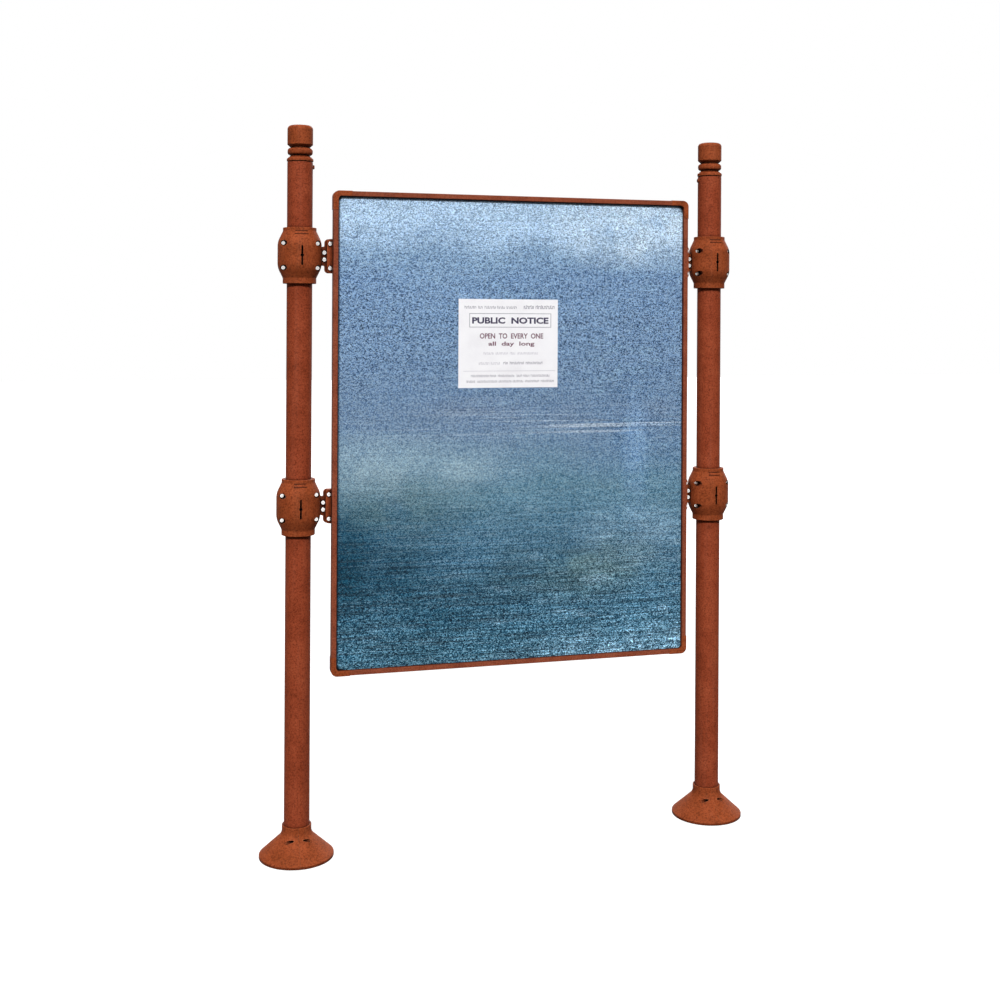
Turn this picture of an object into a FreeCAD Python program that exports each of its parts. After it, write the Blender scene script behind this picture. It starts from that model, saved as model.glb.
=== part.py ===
import FreeCAD, Part
import math
import os

os.makedirs("parts", exist_ok=True)
V = FreeCAD.Vector

# Outdoor notice board: X runs along the board, the board faces -Y, Z is up.
# The origin lies on the ground, midway between the two posts.

# posts, standard round steel tube
post_od = 80.0
post_wall = 3.2
post_over_frame = 89.5

# base plates under the posts
plate_od = 180.0
plate_thick = 10.0
anchor_circle = 130.0
anchor_hole = 14.0
anchor_count = 4

# base covers
cover_rim_r = 117.0
cover_rim_edge = 8.0
cover_neck_r = 46.0
cover_height = 100.0
cover_wall = 4.0
cover_knee_z = 72.0
cover_knee_round = 30.0
cover_edge_round = 2.0
cover_gap = 0.8
cover_seam = 0.4
cover_screw_y = 49.0
cover_screw_z = 60.0
cover_boss_r = 8.5
cover_boss_half = 34.0
cover_pocket_r = 5.8
cover_grip = 8.0

# finials
finial_cap_r = 40.0
finial_bead_r = 39.4
finial_lip_r = 41.6
finial_groove_r = 29.8
finial_seat_r = 38.0
finial_bore_r = 25.0
finial_seat = 3.0
finial_lip_band = 7.5
finial_lip = 20.5
finial_groove = 1.5
finial_bead = 23.0
finial_cap = 71.5
finial_chamfer = 9.0
finial_crown = 3.0
finial_roof = 34.0
finial_spigot = 38.0
finial_play = 0.3
finial_screw_drop = 13.5
finial_spigot_round = 1.5
finial_lip_edge = 1.0
finial_lip_round = 4.0
finial_bead_round = 9.4
finial_foot_round = 3.0
finial_cap_round = 12.0
finial_bore_round = 8.0

# clamp collars, centred below the frame's top and above its bottom
collar_drop = 204.5
collar_rise = 530.5
collar_height = 176.0
collar_neck_r = 52.4
collar_belly_r = 68.8
collar_belly_top = 43.0
collar_belly_bottom = 37.0
collar_neck_top = 77.0
collar_neck_bottom = 70.0
collar_edge_round = 2.0
collar_neck_round = 10.0
collar_belly_round = 60.0
collar_hollow_drop = 2.5
collar_wall = 6.0
collar_land = 19.0
collar_play = 0.3
collar_split = 1.0
collar_screw_x = 53.5
collar_screw_z = 38.5
collar_boss_r = 11.0
collar_recess_r = 9.0
collar_recess_y = 18.0
collar_thread_end = 18.0
slot_width = 6.0
slot_height = 62.0
slot_eye_r = 5.25
slot_past_wall = 7.0

# board frame, 30 x 15 tube, the sheet set back from its front on a flange
frame_width = 1200.0
frame_to_axis = 100.0
frame_bottom = 567.5
frame_height = 1525.0
rail_face = 15.0
rail_depth = 30.0
rail_wall = 1.5
frame_front = -50.0
sheet_recess = 12.0
flange_width = 12.0
flange_thick = 2.0
corner_leg = 59.0
corner_proud = 1.2
corner_round = 20.0
corner_inner_round = 12.0
spigot_length = 40.0
spigot_play = 0.2
edge_round = 1.0

# sheet and notice
sheet_thick = 2.0
sheet_play = 1.0
notice_width = 336.0
notice_height = 288.0
notice_x = -25.0
notice_z = 1612.5
notice_thick = 0.4

# brackets, measured from the post axis towards the board
bracket_front = -4.5
bracket_thick = 8.0
tongue_gap = 1.3
tongue_half = 30.0
head_start = 78.0
head_half = 54.0
head_inset = 1.0
head_round = 12.0
head_end_round = 4.0
bracket_inner_round = 4.0
tongue_round = 3.0
tongue_screw_x = 77.0
tongue_screw_z = 11.0
lug_reach = 16.0
lug_screw_out = 7.0
lug_screw_z = 38.5
lug_round = 10.0
lug_end_round = 2.0
ear_thick = 10.0
ear_end = 90.0
ear_bite = 4.5
ear_round = 8.0

# screws: diameter, head radius, head height, key, nut across flats, nut height
m8 = {"d": 8.0, "head_r": 6.5, "head": 5.0, "key": 5.6, "flats": 13.0, "nut": 6.5}
m6 = {"d": 6.0, "head_r": 5.0, "head": 6.0, "key": 4.2, "flats": 10.0, "nut": 5.0}
hole_play = 0.5
thread_play = 0.05
screw_past_nut = 2.0
key_depth = 2.5
overcut = 1.0
round_margin = 0.01

post_r = post_od / 2
post_bore_r = post_r - post_wall
post_spacing = frame_width + 2 * frame_to_axis
half_spacing = post_spacing / 2
frame_top = frame_bottom + frame_height
frame_rear = frame_front + rail_depth
post_top = frame_top + post_over_frame
collar_heights = {"upper": frame_top - collar_drop, "lower": frame_bottom + collar_rise}
bracket_rear = bracket_front + bracket_thick
tongue_start = collar_belly_r + tongue_gap
head_end = frame_to_axis + rail_face - head_inset
lug_start = frame_to_axis - lug_reach
lug_screw_x = frame_to_axis - lug_screw_out
lug_thick = bracket_front - frame_rear
ear_rear = bracket_rear + ear_thick
sheet_front = frame_front + sheet_recess
sheet_rear = sheet_front + sheet_thick
flange_rear = sheet_rear + flange_thick
flange_root = rail_face - rail_wall
flange_end = rail_face + flange_width
sheet_round = corner_inner_round - sheet_play
collar_half = collar_height / 2
axis_x = V(1, 0, 0)
axis_y = V(0, 1, 0)
axis_z = V(0, 0, 1)


def save(name, shape):
    shape.exportStep("parts/" + name + ".step")


def group(shapes):
    return Part.makeCompound(shapes)


def in_xz(a, b):
    return V(a, 0, b)


# flat face through corners (a, b, corner radius)
def outline(corners, place):
    spans = []
    for i, (a, b, r) in enumerate(corners):
        if r == 0:
            spans.append((place(a, b), None, place(a, b)))
            continue
        before = corners[i - 1]
        after = corners[(i + 1) % len(corners)]
        u = V(before[0] - a, before[1] - b, 0).normalize()
        w = V(after[0] - a, after[1] - b, 0).normalize()
        half = u.getAngle(w) / 2
        reach = r / math.tan(half)
        middle = (u + w).normalize() * (r / math.sin(half) - r)
        start = place(a + u.x * reach, b + u.y * reach)
        end = place(a + w.x * reach, b + w.y * reach)
        spans.append((start, place(a + middle.x, b + middle.y), end))
    edges = []
    for i, (start, middle, end) in enumerate(spans):
        if middle is not None:
            edges.append(Part.Arc(start, middle, end).toShape())
        following = spans[(i + 1) % len(spans)][0]
        if end.distanceToPoint(following) > 1e-6:
            edges.append(Part.makeLine(end, following))
    return Part.Face(Part.Wire(edges))


def turned(corners):
    return outline(corners, in_xz).revolve(V(0, 0, 0), axis_z, 360)


def rod(r, start, along, length):
    return Part.makeCylinder(r, length, start, along)


def block(x0, x1, y0, y1, z0, z1):
    return Part.makeBox(x1 - x0, y1 - y0, z1 - z0, V(x0, y0, z0))


def mirrored(shape):
    return shape.mirror(V(0, 0, 0), axis_x)


def socket(flats, start, along, depth):
    r = flats / math.sqrt(3)
    across = along.cross(axis_z)
    if across.Length < 0.5:
        across = axis_x
    up = along.cross(across)
    points = []
    for i in range(7):
        t = math.radians(60 * i)
        points.append(start + across * (r * math.cos(t)) + up * (r * math.sin(t)))
    return Part.Face(Part.makePolygon(points)).extrude(along * depth)


# screw lying along +Y, its head's seat at the origin, head towards -Y
def screw(size, length):
    head = size["head"]
    top = rod(size["head_r"], V(0, -head, 0), axis_y, head)
    rim = [e for e in top.Edges if abs(e.BoundBox.YMax + head) < 1e-6]
    top = top.makeFillet(edge_round, rim)
    body = top.fuse(rod(size["d"] / 2, V(0, 0, 0), axis_y, length))
    return body.cut(socket(size["key"], V(0, -head, 0), axis_y, key_depth)).removeSplitter()


# nut with its seat at the origin, standing towards +Y
def nut(size):
    hexagon = socket(size["flats"], V(0, 0, 0), axis_y, size["nut"])
    return hexagon.cut(rod(thread_r(size), V(0, -overcut, 0), axis_y, size["nut"] + 2 * overcut))


def clear_r(size):
    return size["d"] / 2 + hole_play


def thread_r(size):
    return size["d"] / 2 + thread_play


def at(shape, x, y, z):
    moved = shape.copy()
    moved.translate(V(x, y, z))
    return moved


# same shape turned so that its +Y points along +X or -X
def facing_x(shape, sign):
    turned_shape = shape.copy()
    turned_shape.rotate(V(0, 0, 0), axis_z, -90 * sign)
    return turned_shape


# posts, at their own axis; the finial screw is on the +X side
def make_post():
    tube = rod(post_r, V(0, 0, plate_thick), axis_z, post_top - plate_thick)
    tube = tube.cut(rod(post_bore_r, V(0, 0, plate_thick), axis_z, post_top - plate_thick))
    return tube.cut(rod(clear_r(m8), V(0, 0, post_top - finial_screw_drop), axis_x, post_od))


def make_plate():
    plate = rod(plate_od / 2, V(0, 0, 0), axis_z, plate_thick)
    for i in range(anchor_count):
        t = math.radians(360 / anchor_count * (i + 0.5))
        spot = V(anchor_circle / 2 * math.cos(t), anchor_circle / 2 * math.sin(t), 0)
        plate = plate.cut(rod(anchor_hole / 2, spot, axis_z, plate_thick))
    return plate


def make_finial():
    z0 = finial_seat
    z1 = finial_lip
    z2 = z1 + finial_groove
    z3 = z2 + finial_bead
    z4 = z3 + finial_groove
    z5 = z4 + finial_cap
    spigot_r = post_bore_r - finial_play
    profile = [
        (finial_bore_r, -finial_spigot, 0),
        (spigot_r, -finial_spigot, finial_spigot_round),
        (spigot_r, 0, 0),
        (finial_seat_r, 0, 0),
        (finial_seat_r, z0, 0),
        (finial_lip_r, z0, finial_lip_edge),
        (finial_lip_r, z0 + finial_lip_band, finial_lip_round),
        (finial_groove_r, z1, 0),
        (finial_groove_r, z2, 0),
        (finial_bead_r, z2, finial_bead_round),
        (finial_bead_r, z3, finial_bead_round),
        (finial_groove_r, z3, 0),
        (finial_groove_r, z4, 0),
        (finial_cap_r, z4 + finial_chamfer, finial_foot_round),
        (finial_cap_r, z5 - finial_crown, finial_cap_round),
        (0, z5, 0),
        (0, z5 - finial_roof, 0),
        (finial_bore_r, z5 - finial_roof, finial_bore_round),
    ]
    body = turned(profile)
    body = body.cut(rod(thread_r(m8), V(0, 0, -finial_screw_drop), axis_x, post_r))
    return at(body, 0, 0, post_top)


# button head on the tube, thread in the finial's spigot
def make_finial_screw():
    body = facing_x(screw(m8, post_r - finial_bore_r), -1)
    return at(body, post_r, 0, post_top - finial_screw_drop)


# base cover, whole, then cut into the halves on either side of the seam
def make_cover_halves():
    slope = (cover_rim_r - cover_neck_r) / (cover_knee_z - cover_rim_edge)
    drop = cover_wall * math.sqrt(1 + slope * slope) / slope
    bore_r = post_r + cover_gap
    knee_in = cover_knee_z + (cover_neck_r - bore_r) / slope - drop
    edge_in = cover_rim_edge + cover_wall / slope - drop
    outer = turned([
        (0, 0, 0),
        (cover_rim_r, 0, 0),
        (cover_rim_r, cover_rim_edge, cover_edge_round),
        (cover_neck_r, cover_knee_z, cover_knee_round),
        (cover_neck_r, cover_height, cover_edge_round),
        (0, cover_height, 0),
    ])
    inner = turned([
        (0, 0, 0),
        (cover_rim_r - cover_wall, 0, 0),
        (cover_rim_r - cover_wall, edge_in, cover_edge_round),
        (bore_r, knee_in, 0),
        (bore_r, cover_height, 0),
        (0, cover_height, 0),
    ])
    shell = outer.cut(inner)
    post_room = rod(bore_r, V(0, 0, 0), axis_z, cover_height)
    for y in (-cover_screw_y, cover_screw_y):
        start = V(-cover_boss_half, y, cover_screw_z)
        boss = rod(cover_boss_r, start, axis_x, 2 * cover_boss_half)
        shell = shell.fuse(boss.common(outer).cut(post_room))
    for y in (-cover_screw_y, cover_screw_y):
        shell = shell.cut(rod(clear_r(m6), V(-cover_grip, y, cover_screw_z), axis_x, 2 * cover_grip))
        for sign in (-1, 1):
            mouth = V(sign * cover_grip, y, cover_screw_z)
            shell = shell.cut(rod(cover_pocket_r, mouth, axis_x * sign, cover_rim_r))
    shell = shell.removeSplitter()
    r = cover_rim_r + overcut
    top = cover_height + overcut
    low = shell.common(block(-r, -cover_seam / 2, -r, r, -overcut, top))
    high = shell.common(block(cover_seam / 2, r, -r, r, -overcut, top))
    return low, high


def make_cover_screws():
    length = 2 * cover_grip + m6["nut"] + screw_past_nut
    one = facing_x(screw(m6, length), 1)
    return group([at(one, -cover_grip, y, cover_screw_z) for y in (-cover_screw_y, cover_screw_y)])


def make_cover_nuts():
    one = facing_x(nut(m6), 1)
    return group([at(one, cover_grip, y, cover_screw_z) for y in (-cover_screw_y, cover_screw_y)])


def screw_spots():
    return [(x, z) for x in (-collar_screw_x, collar_screw_x) for z in (-collar_screw_z, collar_screw_z)]


# collar shells around the post axis, collar centre at the origin, board on the +X side
def make_collar_shells():
    bore_r = post_r + collar_play
    land = collar_half - collar_land
    belly_in = collar_belly_r - collar_wall
    neck_in = collar_neck_r - collar_wall
    round_in = collar_belly_round - collar_wall
    outer = turned([
        (0, -collar_half, 0),
        (collar_neck_r, -collar_half, collar_edge_round),
        (collar_neck_r, -collar_neck_bottom, collar_neck_round),
        (collar_belly_r, -collar_belly_bottom, collar_belly_round),
        (collar_belly_r, collar_belly_top, collar_belly_round),
        (collar_neck_r, collar_neck_top, collar_neck_round),
        (collar_neck_r, collar_half, collar_edge_round),
        (0, collar_half, 0),
    ])
    hollow = turned([
        (0, -land, 0),
        (neck_in, -land, collar_edge_round),
        (belly_in, collar_hollow_drop - collar_belly_bottom, round_in),
        (belly_in, collar_belly_top - collar_hollow_drop, round_in),
        (neck_in, land, collar_edge_round),
        (0, land, 0),
    ])
    bore = rod(bore_r, V(0, 0, -collar_half), axis_z, collar_height)
    body = outer.cut(hollow).cut(bore)
    for x, z in screw_spots():
        boss = rod(collar_boss_r, V(x, -collar_belly_r, z), axis_y, 2 * collar_belly_r)
        body = body.fuse(boss.common(outer).cut(bore))
    body = body.removeSplitter()
    r = collar_belly_r + overcut
    top = collar_half + overcut
    front = body.common(block(-r, r, -r, -collar_split / 2, -top, top))
    rear = body.common(block(-r, r, collar_split / 2, r, -top, top))
    for x, z in screw_spots():
        front = front.cut(rod(collar_recess_r, V(x, -collar_recess_y, z), V(0, -1, 0), collar_belly_r))
        front = front.cut(rod(clear_r(m8), V(x, -collar_recess_y, z), axis_y, collar_recess_y))
        rear = rear.cut(rod(thread_r(m8), V(x, 0, z), axis_y, collar_thread_end + screw_past_nut))
    eye_depth = overcut + collar_wall + slot_past_wall
    slot_round = slot_width / 2 - round_margin
    slot = outline([
        (-slot_width / 2, -slot_height / 2, slot_round),
        (slot_width / 2, -slot_height / 2, slot_round),
        (slot_width / 2, slot_height / 2, slot_round),
        (-slot_width / 2, slot_height / 2, slot_round),
    ], in_xz).extrude(V(0, eye_depth, 0))
    front = front.cut(at(slot, 0, -collar_belly_r - overcut, 0))
    front = front.cut(rod(slot_eye_r, V(0, -collar_belly_r - overcut, 0), axis_y, eye_depth))
    root = collar_belly_r - ear_bite
    ear = outline([
        (root, -tongue_half, 0),
        (ear_end, -tongue_half, ear_round),
        (ear_end, tongue_half, ear_round),
        (root, tongue_half, 0),
    ], in_xz).extrude(V(0, ear_thick, 0))
    rear = rear.fuse(at(ear, 0, bracket_rear, 0))
    for z in (-tongue_screw_z, tongue_screw_z):
        rear = rear.cut(rod(clear_r(m8), V(tongue_screw_x, bracket_rear, z), axis_y, ear_thick))
    return front.removeSplitter(), rear.removeSplitter()


# T-shaped bracket plate between collar ear and frame lug
def make_bracket():
    plate = outline([
        (tongue_start, -tongue_half, tongue_round),
        (head_start, -tongue_half, bracket_inner_round),
        (head_start, -head_half, head_round),
        (head_end, -head_half, head_end_round),
        (head_end, head_half, head_end_round),
        (head_start, head_half, head_round),
        (head_start, tongue_half, bracket_inner_round),
        (tongue_start, tongue_half, tongue_round),
    ], in_xz).extrude(V(0, bracket_thick, 0))
    for sign in (-1, 1):
        tongue_hole = V(tongue_screw_x, 0, sign * tongue_screw_z)
        head_hole = V(lug_screw_x, 0, sign * lug_screw_z)
        plate = plate.cut(rod(clear_r(m8), tongue_hole, axis_y, bracket_thick))
        plate = plate.cut(rod(clear_r(m8), head_hole, axis_y, bracket_thick))
    return at(plate, 0, bracket_front, 0)


# lug welded behind the side rail, in front of the bracket's head
def make_lug():
    lug = outline([
        (lug_start, -head_half, lug_round),
        (head_end, -head_half, lug_end_round),
        (head_end, head_half, lug_end_round),
        (lug_start, head_half, lug_round),
    ], in_xz).extrude(V(0, lug_thick, 0))
    for sign in (-1, 1):
        lug = lug.cut(rod(clear_r(m8), V(lug_screw_x, 0, sign * lug_screw_z), axis_y, lug_thick))
    return at(lug, 0, frame_rear, 0)


def make_tongue_bolts():
    one = screw(m8, bracket_thick + ear_thick + m8["nut"] + screw_past_nut)
    return [at(one, tongue_screw_x, bracket_front, z) for z in (-tongue_screw_z, tongue_screw_z)]


def make_lug_bolts():
    one = screw(m8, bracket_rear - frame_rear + m8["nut"] + screw_past_nut)
    return [at(one, lug_screw_x, frame_rear, z) for z in (-lug_screw_z, lug_screw_z)]


def make_bracket_nuts():
    one = nut(m8)
    nuts = [at(one, tongue_screw_x, ear_rear, z) for z in (-tongue_screw_z, tongue_screw_z)]
    return nuts + [at(one, lug_screw_x, bracket_rear, z) for z in (-lug_screw_z, lug_screw_z)]


def make_collar_screws():
    one = screw(m8, collar_recess_y + collar_thread_end)
    return [at(one, x, -collar_recess_y, z) for x, z in screw_spots()]


# rail along +Z from the origin, outer side at X 0, board on the +X side
def make_rail(length):
    tube = block(0, rail_face, frame_front, frame_rear, 0, length)
    corners = [e for e in tube.Edges if abs(e.Length - length) < 1e-6]
    tube = tube.makeFillet(edge_round, corners)
    tube = tube.fuse(block(flange_root, flange_end, sheet_rear, flange_rear, 0, length))
    bore = block(rail_wall, rail_face - rail_wall, frame_front + rail_wall, frame_rear - rail_wall, 0, length)
    return tube.cut(bore).removeSplitter()


# corner piece at the frame's lower left corner, that corner at the origin
def make_corner():
    front = frame_front - corner_proud
    body = outline([
        (-corner_proud, -corner_proud, corner_round),
        (corner_leg, -corner_proud, 0),
        (corner_leg, rail_face, 0),
        (rail_face, rail_face, corner_inner_round),
        (rail_face, corner_leg, 0),
        (-corner_proud, corner_leg, 0),
    ], in_xz).extrude(V(0, frame_rear - front, 0))
    body = at(body, 0, front, 0)
    rim = [e for e in body.Edges if e.BoundBox.YMax < front + 1e-6]
    body = body.makeFillet(edge_round, rim)
    flange = outline([
        (flange_root, flange_root, 0),
        (corner_leg, flange_root, 0),
        (corner_leg, flange_end, 0),
        (flange_end, flange_end, 0),
        (flange_end, corner_leg, 0),
        (flange_root, corner_leg, 0),
    ], in_xz).extrude(V(0, flange_thick, 0))
    body = body.fuse(at(flange, 0, sheet_rear, 0))
    near = rail_wall + spigot_play
    far = rail_face - near
    y0 = frame_front + near
    y1 = frame_rear - near
    body = body.fuse(block(near, far, y0, y1, corner_leg, corner_leg + spigot_length))
    return body.fuse(block(corner_leg, corner_leg + spigot_length, y0, y1, near, far)).removeSplitter()


def make_sheet():
    x = frame_width / 2 - rail_face - sheet_play
    low = frame_bottom + rail_face + sheet_play
    high = frame_top - rail_face - sheet_play
    face = outline([
        (-x, low, sheet_round),
        (x, low, sheet_round),
        (x, high, sheet_round),
        (-x, high, sheet_round),
    ], in_xz)
    return at(face.extrude(V(0, sheet_thick, 0)), 0, sheet_front, 0)


def make_notice():
    x0 = notice_x - notice_width / 2
    z0 = notice_z - notice_height / 2
    y0 = sheet_front - notice_thick
    return block(x0, x0 + notice_width, y0, sheet_front, z0, z0 + notice_height)


# the same build at the left post, and mirrored at the right post
def on_side(side, shape, z=0):
    placed = at(shape, -half_spacing, 0, z)
    return placed if side == "left" else mirrored(placed)


sides = ("left", "right")
post = make_post()
plate = make_plate()
finial = make_finial()
cover_low, cover_high = make_cover_halves()
front_shell, rear_shell = make_collar_shells()
bracket = make_bracket()
lug = make_lug()

for side in sides:
    save(side + "_post", on_side(side, post))
    save(side + "_base_plate", on_side(side, plate))
    save(side + "_finial", on_side(side, finial))
    save(side + "_cover_outer", on_side(side, cover_low))
    save(side + "_cover_inner", on_side(side, cover_high))
    save(side + "_cover_screws", on_side(side, make_cover_screws()))
    save(side + "_cover_nuts", on_side(side, make_cover_nuts()))
    for level, z in collar_heights.items():
        where = level + "_" + side
        save("collar_front_" + where, on_side(side, front_shell, z))
        save("collar_rear_" + where, on_side(side, rear_shell, z))
        save("bracket_" + where, on_side(side, bracket, z))
        save("lug_" + where, on_side(side, lug, z))


def everywhere(shapes):
    placed = []
    for side in sides:
        for z in collar_heights.values():
            placed += [on_side(side, s, z) for s in shapes]
    return group(placed)


save("finial_screws", group([on_side(side, make_finial_screw()) for side in sides]))
save("collar_screws", everywhere(make_collar_screws()))
save("tongue_bolts", everywhere(make_tongue_bolts()))
save("lug_bolts", everywhere(make_lug_bolts()))
save("bracket_nuts", everywhere(make_bracket_nuts()))

upright = at(make_rail(frame_height - 2 * corner_leg), -frame_width / 2, 0, frame_bottom + corner_leg)
save("rail_left", upright)
save("rail_right", mirrored(upright))
level_rail = make_rail(frame_width - 2 * corner_leg)
level_rail.rotate(V(0, 0, 0), axis_y, 90)
level_rail = at(level_rail, corner_leg - frame_width / 2, 0, 0)
save("rail_top", at(level_rail, 0, 0, frame_top))
save("rail_bottom", at(level_rail.mirror(V(0, 0, 0), axis_z), 0, 0, frame_bottom))

lower_corner = at(make_corner(), -frame_width / 2, 0, frame_bottom)
upper_corner = lower_corner.mirror(V(0, 0, frame_bottom + frame_height / 2), axis_z)
save("corner_lower_left", lower_corner)
save("corner_lower_right", mirrored(lower_corner))
save("corner_upper_left", upper_corner)
save("corner_upper_right", mirrored(upper_corner))

save("sheet", make_sheet())
save("notice", make_notice())
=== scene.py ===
import math
import bmesh
import bpy
from mathutils import Matrix, Vector


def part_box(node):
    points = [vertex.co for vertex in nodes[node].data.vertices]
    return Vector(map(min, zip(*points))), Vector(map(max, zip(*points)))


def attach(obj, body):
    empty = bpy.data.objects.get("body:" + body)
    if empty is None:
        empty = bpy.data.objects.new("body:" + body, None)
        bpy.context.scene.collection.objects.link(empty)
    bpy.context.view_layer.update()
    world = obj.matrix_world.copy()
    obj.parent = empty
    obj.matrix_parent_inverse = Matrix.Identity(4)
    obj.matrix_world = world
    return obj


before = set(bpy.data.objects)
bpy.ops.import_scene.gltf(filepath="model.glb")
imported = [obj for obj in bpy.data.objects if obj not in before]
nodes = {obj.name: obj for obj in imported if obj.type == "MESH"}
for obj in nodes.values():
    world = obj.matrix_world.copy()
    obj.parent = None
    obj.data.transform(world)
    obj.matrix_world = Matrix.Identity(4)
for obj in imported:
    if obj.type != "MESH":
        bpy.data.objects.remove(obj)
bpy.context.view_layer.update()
print("frame loaded,", len(nodes), "nodes")


def hexLinear(code):  # "#rrggbb" in sRGB to linear RGBA
    parts = [int(code[i:i + 2], 16) / 255 for i in (1, 3, 5)]
    return tuple(c / 12.92 if c <= 0.04045 else ((c + 0.055) / 1.055) ** 2.4 for c in parts) + (1.0,)


def addNode(tree, kind, settings=None, links=None):  # a link is a socket, or a node for its first output
    node = tree.nodes.new(kind)
    for key, value in (settings or {}).items():
        if key == "stops":  # colour ramp: (place, hex)
            ramp = node.color_ramp.elements
            while len(ramp) < len(value):
                ramp.new(1.0)
            for element, (place, code) in zip(ramp, value):
                element.position = place
                element.color = hexLinear(code)
        elif key in ("from", "to"):  # the two ends of a map range
            node.inputs[key.title() + " Min"].default_value = value[0]
            node.inputs[key.title() + " Max"].default_value = value[1]
        elif isinstance(key, str) and hasattr(node, key):
            setattr(node, key, value)
        else:
            node.inputs[key].default_value = value
    for key, source in (links or {}).items():
        socket = source if isinstance(source, bpy.types.NodeSocket) else source.outputs[0]
        tree.links.new(socket, node.inputs[key])
    return node


def newMaterial(name, settings):
    material = bpy.data.materials.new(name)
    material.use_nodes = True
    tree = material.node_tree
    tree.nodes.clear()
    shader = addNode(tree, "ShaderNodeBsdfPrincipled", settings)
    addNode(tree, "ShaderNodeOutputMaterial", links={"Surface": shader})
    return material, tree, shader


def dress(material, names):
    for name in names:
        slots = nodes[name].data.materials
        slots.clear()
        slots.append(material)


def addPiece(name, bm, material, body, smooth=True):
    bmesh.ops.remove_doubles(bm, verts=bm.verts, dist=1e-6)
    bmesh.ops.recalc_face_normals(bm, faces=bm.faces)
    mesh = bpy.data.meshes.new(name)
    bm.to_mesh(mesh)
    bm.free()
    for face in mesh.polygons:
        face.use_smooth = smooth
    mesh.materials.append(material)
    piece = bpy.data.objects.new(name, mesh)
    bpy.context.scene.collection.objects.link(piece)
    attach(piece, body)
    return piece


scene = bpy.context.scene
scene.view_settings.view_transform = "Standard"

# camera at the photograph's view: level, at eye height, to the left of the board
cameraView = {"place": (-1.19644, -4.17507, 1.70433), "turn": 0.26935, "roll": 0.00539,
              "sensor": 36.0, "lens": 47.48, "rise": -0.1848}
cameraData = bpy.data.cameras.new("photoCamera")
cameraData.sensor_width = cameraView["sensor"]
cameraData.lens = cameraView["lens"]
cameraData.shift_y = cameraView["rise"]
camera = bpy.data.objects.new("photoCamera", cameraData)
level = Matrix.Rotation(-cameraView["turn"], 4, "Z") @ Matrix.Rotation(math.pi / 2, 4, "X")
aim = level @ Matrix.Rotation(cameraView["roll"], 4, "Z")
camera.matrix_world = Matrix.Translation(cameraView["place"]) @ aim
scene.collection.objects.link(camera)
scene.camera = camera
print("camera set")

# soft boxes, far enough away to light top and foot alike
lampAway = 40.0
lampTarget = Vector((0, 0, 1.15))
lamps = {  # direction, side (m), light on a surface that faces it
    "keyBox": {"from": (-0.24, -1.0, 0.80), "side": 3.6, "level": 1.05},
    "fillBox": {"from": (-0.16, -1.0, 0.12), "side": 12.0, "level": 0.04},
    "topBox": {"from": (-0.10, -0.30, 1.0), "side": 12.0, "level": 0.24},
    "backBox": {"from": (0.25, 1.0, 0.60), "side": 20.0, "level": 0.65},
    "sideBox": {"from": (1.0, 0.80, 0.45), "side": 12.0, "level": 0.30},
}
for name, box in lamps.items():
    data = bpy.data.lights.new(name, "AREA")
    data.size = box["side"]
    data.energy = box["level"] * math.pi ** 2 * lampAway ** 2
    lamp = bpy.data.objects.new(name, data)
    direction = Vector(box["from"]).normalized()
    lamp.location = lampTarget + direction * lampAway
    lamp.rotation_euler = direction.to_track_quat("Z", "Y").to_euler()
    scene.collection.objects.link(lamp)


def seenRays(tree):  # 1 for what the eye, metal or glass looks at, 0 for light that falls on the object
    path = addNode(tree, "ShaderNodeLightPath")
    mirrorRay = addNode(tree, "ShaderNodeMath", {"operation": "MAXIMUM"},
                        {0: path.outputs["Is Glossy Ray"], 1: path.outputs["Is Transmission Ray"]})
    return addNode(tree, "ShaderNodeMath", {"operation": "MAXIMUM"},
                   {0: mirrorRay, 1: path.outputs["Is Camera Ray"]})


# white surroundings: seen at full white, lighting the object only a little
surround = {"colour": "#ffffff", "seen": 1.0, "ambient": 0.06}
world = bpy.data.worlds.new("whiteStudio")
scene.world = world
world.use_nodes = True
tree = world.node_tree
tree.nodes.clear()
white = hexLinear(surround["colour"])
dim = addNode(tree, "ShaderNodeBackground", {"Color": white, "Strength": surround["ambient"]})
bright = addNode(tree, "ShaderNodeBackground", {"Color": white, "Strength": surround["seen"]})
pick = addNode(tree, "ShaderNodeMixShader", links={0: seenRays(tree), 1: dim, 2: bright})
addNode(tree, "ShaderNodeOutputWorld", links={"Surface": pick})

# floor: near white to the eye, with the object's shadow left in its lit share; full white far away
floorLook = {"half": 30.0, "drop": 0.0015, "glow": (0.86, 1.0), "fade": (1.6, 5.0),
             "shadowShare": "#9a9a9a", "bounce": "#383533"}
floorMaterial = bpy.data.materials.new("paintedStudioFloor")
floorMaterial.use_nodes = True
tree = floorMaterial.node_tree
tree.nodes.clear()
lit = addNode(tree, "ShaderNodeBsdfDiffuse", {"Color": hexLinear(floorLook["shadowShare"])})
place = addNode(tree, "ShaderNodeTexCoord").outputs["Object"]
reach = addNode(tree, "ShaderNodeVectorMath", {"operation": "LENGTH"}, {0: place})
rising = addNode(tree, "ShaderNodeMapRange", {"from": floorLook["fade"], "to": floorLook["glow"]},
                 {"Value": reach.outputs["Value"]})
glow = addNode(tree, "ShaderNodeEmission", links={"Strength": rising})
seen = addNode(tree, "ShaderNodeAddShader", links={0: lit, 1: glow})
bounce = addNode(tree, "ShaderNodeBsdfDiffuse", {"Color": hexLinear(floorLook["bounce"])})
pick = addNode(tree, "ShaderNodeMixShader", links={0: seenRays(tree), 1: bounce, 2: seen})
addNode(tree, "ShaderNodeOutputMaterial", links={"Surface": pick})
bm = bmesh.new()
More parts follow.
